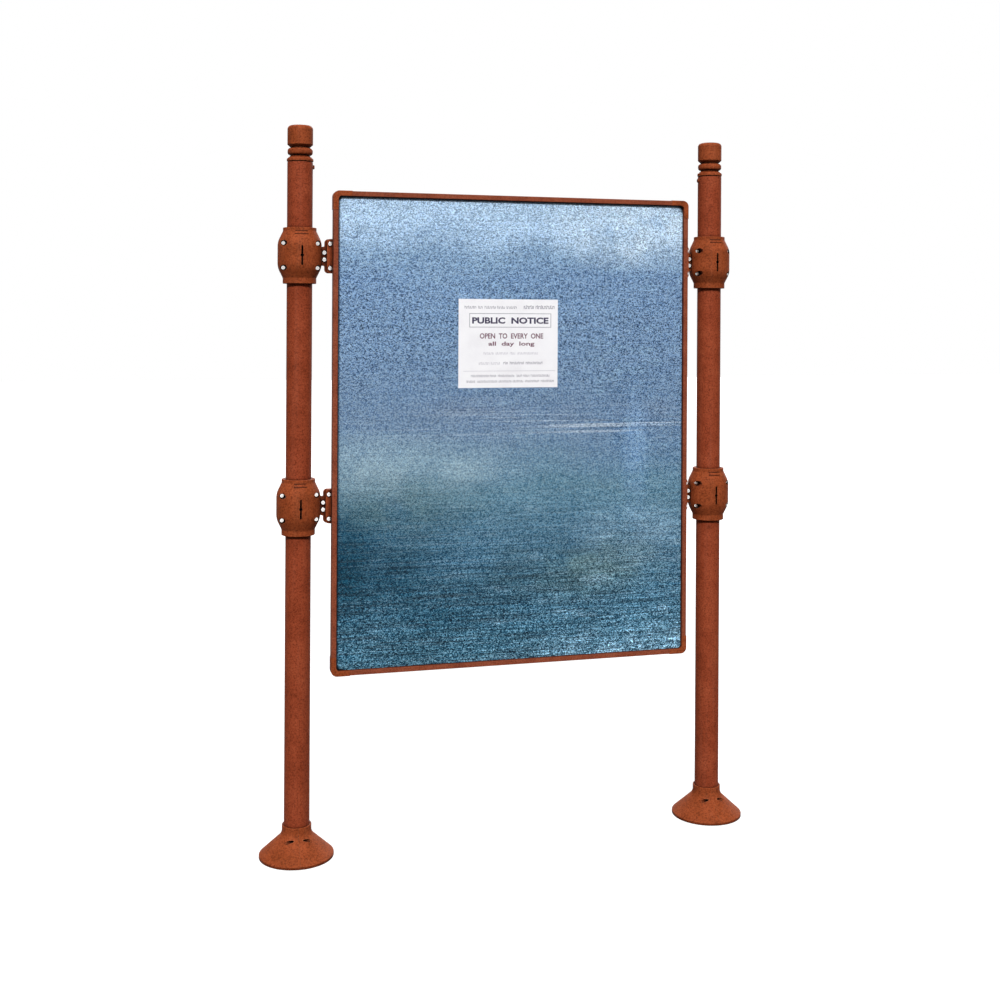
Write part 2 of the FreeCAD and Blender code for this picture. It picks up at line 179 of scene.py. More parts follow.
bmesh.ops.create_grid(bm, x_segments=1, y_segments=1, size=floorLook["half"],
                      matrix=Matrix.Translation((0, 0, -floorLook["drop"])))
mesh = bpy.data.meshes.new("studioFloor")
bm.to_mesh(mesh)
bm.free()
mesh.materials.append(floorMaterial)
floor = bpy.data.objects.new("studioFloor", mesh)
scene.collection.objects.link(floor)
print("studio set")


# powder coat, sprayed and baked: even satin colour with a fine orange peel, and painted shade in corners and
# recesses
def powderCoat(name, look):
    material, tree, shader = newMaterial(name, {"Metallic": 0.0, "Specular IOR Level": look["gloss"]})
    place = addNode(tree, "ShaderNodeTexCoord").outputs["Object"]
    cloud = addNode(tree, "ShaderNodeTexNoise",
                    {"Scale": 1000 / look["cloudMm"], "Detail": 5.0, "Roughness": 0.6}, {"Vector": place})
    colour = addNode(tree, "ShaderNodeValToRGB", {"stops": look["colours"]}, {"Fac": cloud.outputs["Fac"]})
    peel = addNode(tree, "ShaderNodeTexNoise",  # real peel is about 1 mm, drawn coarser so that it shows
                   {"Scale": 1000 / look["peelMm"], "Detail": 3.0, "Roughness": 0.7}, {"Vector": place})
    speckle = addNode(tree, "ShaderNodeValToRGB", {"stops": look["speckle"]}, {"Fac": peel.outputs["Fac"]})
    mottled = addNode(tree, "ShaderNodeMix", {"data_type": "RGBA", "blend_type": "MULTIPLY", 0: 1.0},
                      {6: colour, 7: speckle})
    tall = addNode(tree, "ShaderNodeMapping", {"Scale": (1.0, 1.0, look["runStretch"])}, {"Vector": place})
    runs = addNode(tree, "ShaderNodeTexNoise",  # rain marks, drawn out along the height
                   {"Scale": 1000 / look["runMm"], "Detail": 4.0, "Roughness": 0.55}, {"Vector": tall})
    runShare = addNode(tree, "ShaderNodeMapRange", {"from": look["runCut"], "to": (0.0, look["runShare"])},
                       {"Value": runs.outputs["Fac"]})
    washed = addNode(tree, "ShaderNodeMix", {"data_type": "RGBA", 7: hexLinear(look["dust"])},
                     {0: runShare, 6: mottled.outputs[2]})
    # painted shade: ambient occlusion darkens the paint in corners, recesses, under collars and near the
    # floor
    corner = addNode(tree, "ShaderNodeAmbientOcclusion", {"samples": 8, "Distance": look["cornerMm"] / 1000})
    grime = addNode(tree, "ShaderNodeValToRGB", {"stops": look["grime"]}, {"Fac": corner.outputs["AO"]})
    grimy = addNode(tree, "ShaderNodeMix", {"data_type": "RGBA", "blend_type": "MULTIPLY", 0: 1.0},
                    {6: washed.outputs[2], 7: grime})
    softEdge = addNode(tree, "ShaderNodeBevel", {"samples": 4, "Radius": look["edgeMm"] / 1000})
    flat = addNode(tree, "ShaderNodeNewGeometry")
    agree = addNode(tree, "ShaderNodeVectorMath", {"operation": "DOT_PRODUCT"},
                    {0: softEdge, 1: flat.outputs["Normal"]})
    rubbed = addNode(tree, "ShaderNodeMapRange", {"from": look["rubCut"], "to": (0.0, look["rubShare"])},
                     {"Value": agree.outputs["Value"]})
    worn = addNode(tree, "ShaderNodeMix", {"data_type": "RGBA", 7: hexLinear(look["rubbed"])},
                   {0: rubbed, 6: grimy.outputs[2]})
    rough = addNode(tree, "ShaderNodeMapRange", {"from": look["peelSpan"], "to": look["rough"]},
                    {"Value": peel.outputs["Fac"]})
    relief = addNode(tree, "ShaderNodeBump",
                     {"Strength": look["relief"], "Distance": look["reliefMm"] / 1000},
                     {"Height": peel.outputs["Fac"]})
    tree.links.new(worn.outputs[2], shader.inputs["Base Color"])
    tree.links.new(rough.outputs[0], shader.inputs["Roughness"])
    tree.links.new(relief.outputs["Normal"], shader.inputs["Normal"])
    return material


coatLook = {  # what all the painted pieces share
    "gloss": 0.06, "rubShare": 0.30, "rubCut": (0.98, 0.80), "runCut": (0.52, 0.75), "peelSpan": (0.3, 0.7),
}
tubeLook = dict(coatLook, **{
    "colours": [(0.28, "#8d3f25"), (0.50, "#9f4a2e"), (0.74, "#ab5436")],
    "speckle": [(0.30, "#9c918a"), (0.52, "#eae5e1"), (0.70, "#ffffff")],
    "cloudMm": 60.0, "peelMm": 5.0, "runMm": 14.0, "runStretch": 0.03, "runShare": 0.16, "dust": "#a8614a",
    "cornerMm": 60.0, "grime": [(0.32, "#100a08"), (0.70, "#e2dbd8"), (0.92, "#ffffff")],
    "edgeMm": 1.5, "rubbed": "#b06a50", "rough": (0.56, 0.74), "relief": 0.50, "reliefMm": 0.5,
})
castLook = dict(coatLook, **{
    "colours": [(0.28, "#8c4423"), (0.50, "#9f4e2b"), (0.74, "#ac5733")],
    "speckle": [(0.30, "#9a8f88"), (0.52, "#e9e4e0"), (0.70, "#ffffff")],
    "cloudMm": 45.0, "peelMm": 5.5, "runMm": 16.0, "runStretch": 0.05, "runShare": 0.14, "dust": "#a9674a",
    "cornerMm": 16.0, "grime": [(0.42, "#180f0b"), (0.78, "#d9d1cc"), (0.94, "#ffffff")],
    "edgeMm": 2.0, "rubbed": "#b4734f", "rough": (0.58, 0.76), "relief": 0.55, "reliefMm": 0.6,
})
railLook = dict(tubeLook, colours=[(0.28, "#85432f"), (0.50, "#985038"), (0.74, "#a45b42")])
tubePaint = powderCoat("powderCoatedSteelTube", tubeLook)
railPaint = powderCoat("powderCoatedFrameTube", railLook)  # a little greyer, from another batch
castPaint = powderCoat("powderCoatedCasting", castLook)
castStarts = ("collar_front", "collar_rear", "bracket_upper", "bracket_lower", "lug_upper", "lug_lower",
              "corner_", "finial_screws")
castEnds = ("_finial", "_cover_inner", "_cover_outer")
dress(tubePaint, [n for n in nodes if n.endswith("_post")])
dress(railPaint, [n for n in nodes if n.startswith("rail_")])
dress(castPaint, [n for n in nodes if n.startswith(castStarts) or n.endswith(castEnds)])
print("paint done")

# galvanised steel sheet, hot dipped: zinc spangle, rolling lines, and a painted reflection: blue, pale at the
# top and darker downwards
throughSheet = 1000.0  # reach in Y, so that a stain's shape is the same through the sheet
sheetLook = {
    "tones": [(0.00, "#426f89"), (0.22, "#466c87"), (0.38, "#628498"), (0.50, "#6d85a0"), (0.64, "#6983a3"),
              (0.82, "#6f8bae"), (0.88, "#7a96b5"), (0.945, "#a4beda"), (1.00, "#a6bfd9")],
    "warp": (-0.07, 0.07), "warpMm": 240.0,
    "rear": [(0.34, "#6f7d8b"), (0.50, "#8290a0"), (0.66, "#97a4b1")],
    "metal": 0.18, "gloss": 0.15, "rough": (0.42, 0.62), "relief": 0.12, "reliefMm": 0.25,
    "veilCut": (0.32, 0.66), "veilFull": (0.0, 0.6),
    "veils": [  # name, colour, middle x and z, half width and height (m), strength, cloud size (mm)
        ("paleBloom", "#c6d9ea", 0.42, 2.00, 0.36, 0.16, 0.75, 80.0),
        ("chalkBand", "#96afbd", -0.44, 1.21, 0.50, 0.13, 0.80, 160.0),
        ("blueSide", "#58789d", 0.52, 1.33, 0.45, 0.22, 0.75, 300.0),
        ("tealShade", "#0a3a50", -0.44, 0.86, 0.88, 0.39, 1.00, 700.0),
        ("paleCorner", "#7ba4c0", 0.46, 0.58, 0.60, 0.11, 0.75, 60.0),
        ("oliveStain", "#617e83", -0.36, 1.10, 0.34, 0.10, 0.40, 120.0),
        ("oliveSpill", "#627b7a", 0.26, 0.88, 0.38, 0.13, 0.55, 130.0),
        ("dimBand", "#2f4d5c", 0.02, 0.835, 0.42, 0.075, 0.55, 300.0),
        ("paleSide", "#84a2ba", 0.46, 0.98, 0.34, 0.12, 0.45, 200.0),
        ("greyFog", "#6f7e95", 0.12, 1.39, 0.60, 0.08, 0.50, 190.0),
        ("paleDrip", "#86a8cf", 0.42, 1.25, 0.06, 0.26, 0.42, 70.0),
    ],
    "smear": "#8cadc4", "smearMm": 135.0, "smearFlat": 3.0, "smearCut": (0.56, 0.76),
    "smearAcross": (-0.3, 0.55), "smearShare": (0.15, 0.75),  # stronger to the right
    "scratch": "#ccd8e2", "scratchMm": 5.6, "scratchStretch": 0.011, "scratchCut": (0.55, 0.64),
    "beltPlace": (0.32, 0, 1.350), "beltReach": (1.05, throughSheet, 0.080),  # where most scratches lie
    "beltFull": (0.0, 0.6), "beltShare": (0.04, 0.48), "beltLine": 0.5,
    "spangleMm": 3.1, "spangleFlat": 1.25, "spangleSpan": (0.1, 0.6), "spangleShare": (0.17, 1.40),
    "glintPower": 2.0, "glintShare": (0.12, 2.8), "glintFall": (0.70, 0.95),  # painted glints near the bottom
    "contrast": [(0.05, "#cccccc"), (0.25, "#ffffff"), (0.49, "#e7e7e7"), (0.62, "#c4c4c4"),
                 (0.74, "#e4e4e4"), (0.86, "#ffffff")],
    "filmPlace": (-0.25, 0, 1.32), "filmReach": (0.95, throughSheet, 0.24),
    "filmFull": (0.0, 0.5), "filmShare": (1.0, 0.6),
    "hue": (0.512, 0.485), "depth": (1.30, 0.80),
    "grainMm": 3.6, "grainSpan": (0.3, 0.7), "grainShare": (0.70, 1.30),
    "lineMm": 3.6, "lineStretch": 0.025, "lineSpan": (0.3, 0.7), "lineShare": (-0.62, 0.62),
    "lineFall": (0.60, 0.90), "lineFade": (0.14, 1.0),
    # painted shadow of the frame along the sheet's left and top edges
    "edgeMm": 14.0, "frameShadow": [(0.73, "#0f0e12"), (0.83, "#ffffff")], "edgeReach": 0.03,
}
low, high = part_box("sheet")
zinc, tree, shader = newMaterial(
    "galvanisedSteelSheet", {"Metallic": sheetLook["metal"], "Specular IOR Level": sheetLook["gloss"]})
place = addNode(tree, "ShaderNodeTexCoord").outputs["Object"]
axes = addNode(tree, "ShaderNodeSeparateXYZ", links={0: place})
rise = addNode(tree, "ShaderNodeMapRange", {"from": (low.z, high.z)}, {"Value": axes.outputs["Z"]})
fall = addNode(tree, "ShaderNodeMath", {"operation": "SUBTRACT", 0: 1.0}, {1: rise})
drift = addNode(tree, "ShaderNodeTexNoise",
                {"Scale": 1000 / sheetLook["warpMm"], "Detail": 4.0, "Roughness": 0.5}, {"Vector": place})
drifted = addNode(tree, "ShaderNodeMapRange", {"to": sheetLook["warp"]}, {"Value": drift.outputs["Fac"]})
level = addNode(tree, "ShaderNodeMath", {"operation": "ADD"}, {0: rise, 1: drifted})
# painted reflection: the tone ramp by height runs from dark teal at the bottom to pale blue at the top
tone = addNode(tree, "ShaderNodeValToRGB", {"stops": sheetLook["tones"]}, {"Fac": level})
surface = tone.outputs["Color"]
for name, code, x, z, wide, tall, strength, cloudMm in sheetLook["veils"]:
    spot = addNode(tree, "ShaderNodeMapping", {"vector_type": "TEXTURE", "Location": (x, 0, z),
                                               "Scale": (wide, throughSheet, tall)}, {"Vector": place})
    ball = addNode(tree, "ShaderNodeTexGradient", {"gradient_type": "SPHERICAL"}, {"Vector": spot})
    cloud = addNode(tree, "ShaderNodeTexNoise",
                    {"Scale": 1000 / cloudMm, "Detail": 5.0, "Roughness": 0.6}, {"Vector": place})
    ragged = addNode(tree, "ShaderNodeMapRange", {"from": sheetLook["veilCut"]},
                     {"Value": cloud.outputs["Fac"]})
    share = addNode(tree, "ShaderNodeMath", {"operation": "MULTIPLY"}, {0: ball.outputs["Fac"], 1: ragged})
    amount = addNode(tree, "ShaderNodeMapRange", {"from": sheetLook["veilFull"], "to": (0.0, strength)},
                     {"Value": share})
    veil = addNode(tree, "ShaderNodeMix", {"data_type": "RGBA", "label": name, 7: hexLinear(code)},
                   {0: amount, 6: surface})
    surface = veil.outputs[2]

# smears and scratches, wiped and dragged along the board
flattened = addNode(tree, "ShaderNodeMapping", {"Scale": (1.0, 1.0, sheetLook["smearFlat"])},
                    {"Vector": place})
smear = addNode(tree, "ShaderNodeTexNoise",
                {"Scale": 1000 / sheetLook["smearMm"], "Detail": 6.0, "Roughness": 0.68},
                {"Vector": flattened})
smearCut = addNode(tree, "ShaderNodeMapRange", {"from": sheetLook["smearCut"]},
                   {"Value": smear.outputs["Fac"]})
smearSide = addNode(tree, "ShaderNodeMapRange",
                    {"from": sheetLook["smearAcross"], "to": sheetLook["smearShare"]},
                    {"Value": axes.outputs["X"]})
smearShare = addNode(tree, "ShaderNodeMath", {"operation": "MULTIPLY"}, {0: smearCut, 1: smearSide})
smeared = addNode(tree, "ShaderNodeMix", {"data_type": "RGBA", 7: hexLinear(sheetLook["smear"])},
                  {0: smearShare, 6: surface})
drawn = addNode(tree, "ShaderNodeMapping", {"Scale": (sheetLook["scratchStretch"], 1.0, 1.0)},
                {"Vector": place})
scratch = addNode(tree, "ShaderNodeTexNoise", {"Scale": 1000 / sheetLook["scratchMm"], "Detail": 2.0},
                  {"Vector": drawn})
scratchCut = addNode(tree, "ShaderNodeMapRange", {"from": sheetLook["scratchCut"]},
                     {"Value": scratch.outputs["Fac"]})
belt = addNode(tree, "ShaderNodeMapping", {"vector_type": "TEXTURE", "Location": sheetLook["beltPlace"],
                                           "Scale": sheetLook["beltReach"]}, {"Vector": place})
beltShare = addNode(tree, "ShaderNodeTexGradient", {"gradient_type": "QUADRATIC_SPHERE"}, {"Vector": belt})
beltOpen = addNode(tree, "ShaderNodeMapRange", {"from": sheetLook["beltFull"], "to": sheetLook["beltShare"]},
                   {"Value": beltShare.outputs["Fac"]})
scratchShare = addNode(tree, "ShaderNodeMath", {"operation": "MULTIPLY"}, {0: scratchCut, 1: beltOpen})
scratched = addNode(tree, "ShaderNodeMix", {"data_type": "RGBA", 7: hexLinear(sheetLook["scratch"])},
                    {0: scratchShare, 6: smeared.outputs[2]})
frontShare = addNode(tree, "ShaderNodeMapRange", {"from": (high.y, low.y)}, {"Value": axes.outputs["Y"]})
rearTone = addNode(tree, "ShaderNodeValToRGB", {"stops": sheetLook["rear"]}, {"Fac": drift.outputs["Fac"]})
faced = addNode(tree, "ShaderNodeMix", {"data_type": "RGBA"},  # stains and scratches stay on the front
                {0: frontShare, 6: rearTone, 7: scratched.outputs[2]})

# spangle: dark specks in a light field, painted glints near the bottom, hidden in part by a chalky film
pressed = addNode(tree, "ShaderNodeMapping", {"Scale": (1.0, 1.0, sheetLook["spangleFlat"])},
                  {"Vector": place})
spangle = addNode(tree, "ShaderNodeTexVoronoi", {"Scale": 1000 / sheetLook["spangleMm"]}, {"Vector": pressed})
facet = addNode(tree, "ShaderNodeSeparateColor", links={0: spangle.outputs["Color"]})
evenShare = addNode(tree, "ShaderNodeMapRange",
                    {"from": sheetLook["spangleSpan"], "to": sheetLook["spangleShare"]}, {"Value": facet})
glint = addNode(tree, "ShaderNodeMath", {"operation": "POWER", 1: sheetLook["glintPower"]}, {0: facet})
glintShare = addNode(tree, "ShaderNodeMapRange", {"to": sheetLook["glintShare"]}, {"Value": glint})
sparkle = addNode(tree, "ShaderNodeMapRange", {"from": sheetLook["glintFall"]}, {"Value": fall})
facetShare = addNode(tree, "ShaderNodeMix", links={0: sparkle, 2: evenShare, 3: glintShare})
contrast = addNode(tree, "ShaderNodeValToRGB", {"stops": sheetLook["contrast"]}, {"Fac": fall})
film = addNode(tree, "ShaderNodeMapping", {"vector_type": "TEXTURE", "Location": sheetLook["filmPlace"],
                                           "Scale": sheetLook["filmReach"]}, {"Vector": place})
filmShare = addNode(tree, "ShaderNodeTexGradient", {"gradient_type": "SPHERICAL"}, {"Vector": film})
hush = addNode(tree, "ShaderNodeMapRange", {"from": sheetLook["filmFull"], "to": sheetLook["filmShare"]},
               {"Value": filmShare.outputs["Fac"]})
shown = addNode(tree, "ShaderNodeMath", {"operation": "MULTIPLY"}, {0: contrast, 1: hush})
evenFacet = addNode(tree, "ShaderNodeMix", {2: 1.0}, {0: shown, 3: facetShare})
facetHue = addNode(tree, "ShaderNodeMapRange", {"to": sheetLook["hue"]}, {"Value": facet})
facetDepth = addNode(tree, "ShaderNodeMapRange", {"to": sheetLook["depth"]}, {"Value": facet})
tinted = addNode(tree, "ShaderNodeHueSaturation",
                 links={"Hue": facetHue, "Saturation": facetDepth, "Color": faced.outputs[2]})

# fine grain, and rolling lines that show near the bottom and in the scratched belt
grain = addNode(tree, "ShaderNodeTexNoise", {"Scale": 1000 / sheetLook["grainMm"], "Detail": 2.0},
                {"Vector": place})
grainShare = addNode(tree, "ShaderNodeMapRange",
                     {"from": sheetLook["grainSpan"], "to": sheetLook["grainShare"]},
                     {"Value": grain.outputs["Fac"]})
rolled = addNode(tree, "ShaderNodeMapping", {"Scale": (sheetLook["lineStretch"], 1.0, 1.0)},
                 {"Vector": place})
lines = addNode(tree, "ShaderNodeTexNoise", {"Scale": 1000 / sheetLook["lineMm"], "Detail": 2.0},
                {"Vector": rolled})
lineRaw = addNode(tree, "ShaderNodeMapRange", {"from": sheetLook["lineSpan"], "to": sheetLook["lineShare"]},
                  {"Value": lines.outputs["Fac"]})
lineFade = addNode(tree, "ShaderNodeMapRange", {"from": sheetLook["lineFall"], "to": sheetLook["lineFade"]},
                   {"Value": fall})
beltLine = addNode(tree, "ShaderNodeMath", {"operation": "MULTIPLY", 1: sheetLook["beltLine"]},
                   {0: beltShare.outputs["Fac"]})
lineBelt = addNode(tree, "ShaderNodeMath", {"operation": "MAXIMUM"}, {0: lineFade, 1: beltLine})
lineShare = addNode(tree, "ShaderNodeMath", {"operation": "MULTIPLY_ADD", 2: 1.0}, {0: lineRaw, 1: lineBelt})
facetGrain = addNode(tree, "ShaderNodeMath", {"operation": "MULTIPLY"}, {0: evenFacet, 1: grainShare})
shine = addNode(tree, "ShaderNodeMath", {"operation": "MULTIPLY"}, {0: facetGrain, 1: lineShare})
bright = addNode(tree, "ShaderNodeVectorMath", {"operation": "SCALE"}, {0: tinted, "Scale": shine})

# painted shadow of the frame on the sheet: ambient occlusion darkening, along the left and top edges only
corner = addNode(tree, "ShaderNodeAmbientOcclusion", {"samples": 8, "Distance": sheetLook["edgeMm"] / 1000})
frameShadow = addNode(tree, "ShaderNodeValToRGB", {"stops": sheetLook["frameShadow"]},
                   {"Fac": corner.outputs["AO"]})
edgeReach = sheetLook["edgeReach"]
nearLeft = addNode(tree, "ShaderNodeMapRange", {"from": (low.x + edgeReach, low.x + edgeReach / 2)},
                   {"Value": axes.outputs["X"]})
nearTop = addNode(tree, "ShaderNodeMapRange", {"from": (high.z - edgeReach, high.z - edgeReach / 2)},
                  {"Value": axes.outputs["Z"]})
frameShadowMask = addNode(tree, "ShaderNodeMath", {"operation": "MAXIMUM"}, {0: nearLeft, 1: nearTop})
finished = addNode(tree, "ShaderNodeMix", {"data_type": "RGBA", "blend_type": "MULTIPLY"},
                   {0: frameShadowMask, 6: bright, 7: frameShadow})
rough = addNode(tree, "ShaderNodeMapRange", {"to": sheetLook["rough"]}, {"Value": facet.outputs[1]})
relief = addNode(tree, "ShaderNodeBump",
                 {"Strength": sheetLook["relief"], "Distance": sheetLook["reliefMm"] / 1000},
                 {"Height": facet.outputs[2]})
tree.links.new(finished.outputs[2], shader.inputs["Base Color"])
tree.links.new(rough.outputs[0], shader.inputs["Roughness"])
tree.links.new(relief.outputs["Normal"], shader.inputs["Normal"])
dress(zinc, ["sheet"])
print("sheet done")

# galvanised base plate, hot dipped thick steel: dull grey, cloudy, with small spangle
plateLook = {"tones": [(0.30, "#8b9093"), (0.55, "#a3a8aa"), (0.75, "#b9bdbe")], "metal": 0.7,
             "cloudMm": 22.0, "spangleMm": 6.0, "share": (0.86, 1.10), "rough": (0.45, 0.66)}
plateZinc, tree, shader = newMaterial("galvanisedBasePlate", {"Metallic": plateLook["metal"]})
place = addNode(tree, "ShaderNodeTexCoord").outputs["Object"]
cloud = addNode(tree, "ShaderNodeTexNoise", {"Scale": 1000 / plateLook["cloudMm"], "Detail": 5.0},
                {"Vector": place})
tone = addNode(tree, "ShaderNodeValToRGB", {"stops": plateLook["tones"]}, {"Fac": cloud.outputs["Fac"]})
spangle = addNode(tree, "ShaderNodeTexVoronoi", {"Scale": 1000 / plateLook["spangleMm"]}, {"Vector": place})
facet = addNode(tree, "ShaderNodeSeparateColor", links={0: spangle.outputs["Color"]})
share = addNode(tree, "ShaderNodeMapRange", {"to": plateLook["share"]}, {"Value": facet})
finished = addNode(tree, "ShaderNodeVectorMath", {"operation": "SCALE"}, {0: tone, "Scale": share})
rough = addNode(tree, "ShaderNodeMapRange", {"to": plateLook["rough"]}, {"Value": facet.outputs[1]})
tree.links.new(finished.outputs[0], shader.inputs["Base Color"])
tree.links.new(rough.outputs[0], shader.inputs["Roughness"])
dress(plateZinc, ["left_base_plate", "right_base_plate"])

# stainless screws and nuts, turned and tumbled: bright, with faint tool marks; painted shade in sockets and
# on heads sunk in pockets
screwLook = {"tones": [(0.30, "#d8d5d2"), (0.60, "#f0eeec")], "markMm": 1.6, "rough": (0.10, 0.22),
             "hollow": [(0.20, "#8a807b"), (0.55, "#ffffff")], "hollowMm": 4.0,
             "rimMm": 1.3, "rim": "#4d4643", "rimCut": (0.99, 0.85), "rimShare": 0.75}
steel, tree, shader = newMaterial("stainlessScrews", {"Metallic": 1.0})
place = addNode(tree, "ShaderNodeTexCoord").outputs["Object"]
marks = addNode(tree, "ShaderNodeTexNoise", {"Scale": 1000 / screwLook["markMm"], "Detail": 3.0},
                {"Vector": place})
tone = addNode(tree, "ShaderNodeValToRGB", {"stops": screwLook["tones"]}, {"Fac": marks.outputs["Fac"]})
# painted shade: ambient occlusion darkens sockets and heads that sit in pockets
corner = addNode(tree, "ShaderNodeAmbientOcclusion", {"samples": 6, "Distance": screwLook["hollowMm"] / 1000})
hollow = addNode(tree, "ShaderNodeValToRGB", {"stops": screwLook["hollow"]}, {"Fac": corner.outputs["AO"]})
socketShaded = addNode(tree, "ShaderNodeMix", {"data_type": "RGBA", "blend_type": "MULTIPLY", 0: 1.0},
                {6: tone, 7: hollow})
# painted shade: a dark ring around each head's rounded rim
softEdge = addNode(tree, "ShaderNodeBevel", {"samples": 4, "Radius": screwLook["rimMm"] / 1000})
flat = addNode(tree, "ShaderNodeNewGeometry")
agree = addNode(tree, "ShaderNodeVectorMath", {"operation": "DOT_PRODUCT"},
                {0: softEdge, 1: flat.outputs["Normal"]})
rimShare = addNode(tree, "ShaderNodeMapRange",
                   {"from": screwLook["rimCut"], "to": (0.0, screwLook["rimShare"])},
                   {"Value": agree.outputs["Value"]})
finished = addNode(tree, "ShaderNodeMix", {"data_type": "RGBA", 7: hexLinear(screwLook["rim"])},
                   {0: rimShare, 6: socketShaded.outputs[2]})
rough = addNode(tree, "ShaderNodeMapRange", {"to": screwLook["rough"]}, {"Value": marks.outputs["Fac"]})
tree.links.new(finished.outputs[2], shader.inputs["Base Color"])
tree.links.new(rough.outputs[0], shader.inputs["Roughness"])
dress(steel, [n for n in nodes if n.endswith(("_screws", "_bolts", "_nuts")) and n != "finial_screws"])
print("screws done")

# notice paper, uncoated: matt white with soft fibre clouds and a little weathering
paperLook = {"tones": [(0.25, "#eceaee"), (0.50, "#f6f5f8"), (0.75, "#fbfafc")], "rough": 0.85, "gloss": 0.2,
             "fibreMm": 3.5, "coarseMm": 50.0, "coarseShare": 0.6, "relief": 0.15, "reliefMm": 0.2}
paper, tree, shader = newMaterial(
    "uncoatedPaper", {"Roughness": paperLook["rough"], "Specular IOR Level": paperLook["gloss"]})
place = addNode(tree, "ShaderNodeTexCoord").outputs["Object"]
fibre = addNode(tree, "ShaderNodeTexNoise", {"Scale": 1000 / paperLook["fibreMm"], "Detail": 4.0},
                {"Vector": place})
damp = addNode(tree, "ShaderNodeTexNoise", {"Scale": 1000 / paperLook["coarseMm"], "Detail": 3.0},
               {"Vector": place})
both = addNode(tree, "ShaderNodeMix", {0: paperLook["coarseShare"]},
               {2: fibre.outputs["Fac"], 3: damp.outputs["Fac"]})
tone = addNode(tree, "ShaderNodeValToRGB", {"stops": paperLook["tones"]}, {"Fac": both})
relief = addNode(tree, "ShaderNodeBump",
                 {"Strength": paperLook["relief"], "Distance": paperLook["reliefMm"] / 1000},
                 {"Height": both})
tree.links.new(tone.outputs["Color"], shader.inputs["Base Color"])
tree.links.new(relief.outputs["Normal"], shader.inputs["Normal"])
dress(paper, ["notice"])

# offset printing ink on paper: matt, a little broken by the fibres
inkLook = {"rough": 0.7, "gloss": 0.25, "span": (0.35, 0.70), "lift": 0.00006}


def printInk(name, dark, pale):
    material, tree, shader = newMaterial(
        name, {"Roughness": inkLook["rough"], "Specular IOR Level": inkLook["gloss"]})
    place = addNode(tree, "ShaderNodeTexCoord").outputs["Object"]
    fibre = addNode(tree, "ShaderNodeTexNoise", {"Scale": 1000 / paperLook["fibreMm"], "Detail": 4.0},
                    {"Vector": place})
    tone = addNode(tree, "ShaderNodeValToRGB", {"stops": list(zip(inkLook["span"], (dark, pale)))},
                   {"Fac": fibre.outputs["Fac"]})
    tree.links.new(tone.outputs["Color"], shader.inputs["Base Color"])
    return material


# print on the notice: three bold lines of plain words, and small rows that are strokes with no letters
typeLook = {"boldStep": 0.02, "depth": 0.5, "curveSteps": 3}
printWords = {  # words, from left, to left, from top, height (mm on the paper)
    "printHeading": {"ink": ("#2f2942", "#4c4560"), "bold": 1.9, "lines": [
        ("PUBLIC  NOTICE", 45, 304, 59, 21)]},
    "printDates": {"ink": ("#5a2b40", "#7d4f62"), "bold": 1.2, "lines": [
        ("OPEN  TO  EVERY  ONE", 71, 286, 111, 17.5), ("all  day  long", 100, 256, 138, 17.5)]},
}
printRows = {  # from left, to left, from top, height, step along, stroke (mm), word ends (share of the row)
    "printSmall": {"ink": ("#86828e", "#a9a5b0"), "rows": [
        (20, 196, 22, 9, 4.4, 1.5, (0.26, 0.38, 0.62, 0.80)),
        (219, 326, 19, 12, 5.2, 2.0, (0.38,)),
        (151, 286, 203, 9, 4.6, 1.6, (0.16, 0.56)),
        (42, 308, 245, 8, 4.2, 1.4, (0.24, 0.34, 0.58, 0.66, 0.76)),
        (28, 326, 263, 8, 4.2, 1.4, (0.12, 0.36, 0.52, 0.66, 0.84)),
    ], "rules": [(36, 313, 46, 47.8), (36, 313, 90.2, 92), (36, 37.8, 46, 92), (311.2, 313, 46, 92)]},
    "printFaint": {"ink": ("#bab7c0", "#d4d2d8"), "rows": [
        (84, 268, 172, 8, 4.4, 1.4, (0.22, 0.48, 0.62)),
        (68, 142, 204, 9, 4.6, 1.5, (0.55,)),
    ], "rules": [(17, 328, 233, 234.4)]},
}
stepBeat = (1.0, 0.72, 1.15, 0.9, 0.66, 1.08)  # uneven steps between strokes
liftBeat = (0.0, 0.22, 0.22, 0.0, 0.22, 0.22, 0.22)  # how far a stroke stays below full height
low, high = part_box("notice")


def addBlock(bm, left, right, top, bottom):
    middle = Vector((low.x + (left + right) / 2000, low.y, high.z - (top + bottom) / 2000))
    size = Vector(((right - left) / 1000, 2 * inkLook["lift"], (bottom - top) / 1000))
    bmesh.ops.create_cube(bm, size=1.0, matrix=Matrix.Translation(middle) @ Matrix.Diagonal(size.to_4d()))


def addWords(bm, words, bold, left, right, top, tall):  # type as a mesh, scaled into its line on the paper
    curve = bpy.data.curves.new("type", "FONT")
    curve.body = words
    curve.offset = typeLook["boldStep"] * bold
    curve.extrude = typeLook["depth"]
    curve.resolution_u = typeLook["curveSteps"]
    setting = bpy.data.objects.new("type", curve)
    scene.collection.objects.link(setting)
    bpy.context.view_layer.update()
    mesh = setting.evaluated_get(bpy.context.evaluated_depsgraph_get()).to_mesh()
    spots = [v.co for v in mesh.vertices]
    x0, x1 = min(c.x for c in spots), max(c.x for c in spots)
    y0, y1 = min(c.y for c in spots), max(c.y for c in spots)
    fit = Matrix(((0.001 * (right - left) / (x1 - x0), 0, 0, low.x + left / 1000),
                  (0, 0, -2 * inkLook["lift"], low.y),
                  (0, 0.001 * tall / (y1 - y0), 0, high.z - (top + tall) / 1000),
                  (0, 0, 0, 1)))
    mesh.transform(fit @ Matrix.Translation((-x0, -y0, 0)))
    bm.from_mesh(mesh)
    bpy.data.objects.remove(setting)
    bpy.data.curves.remove(curve)


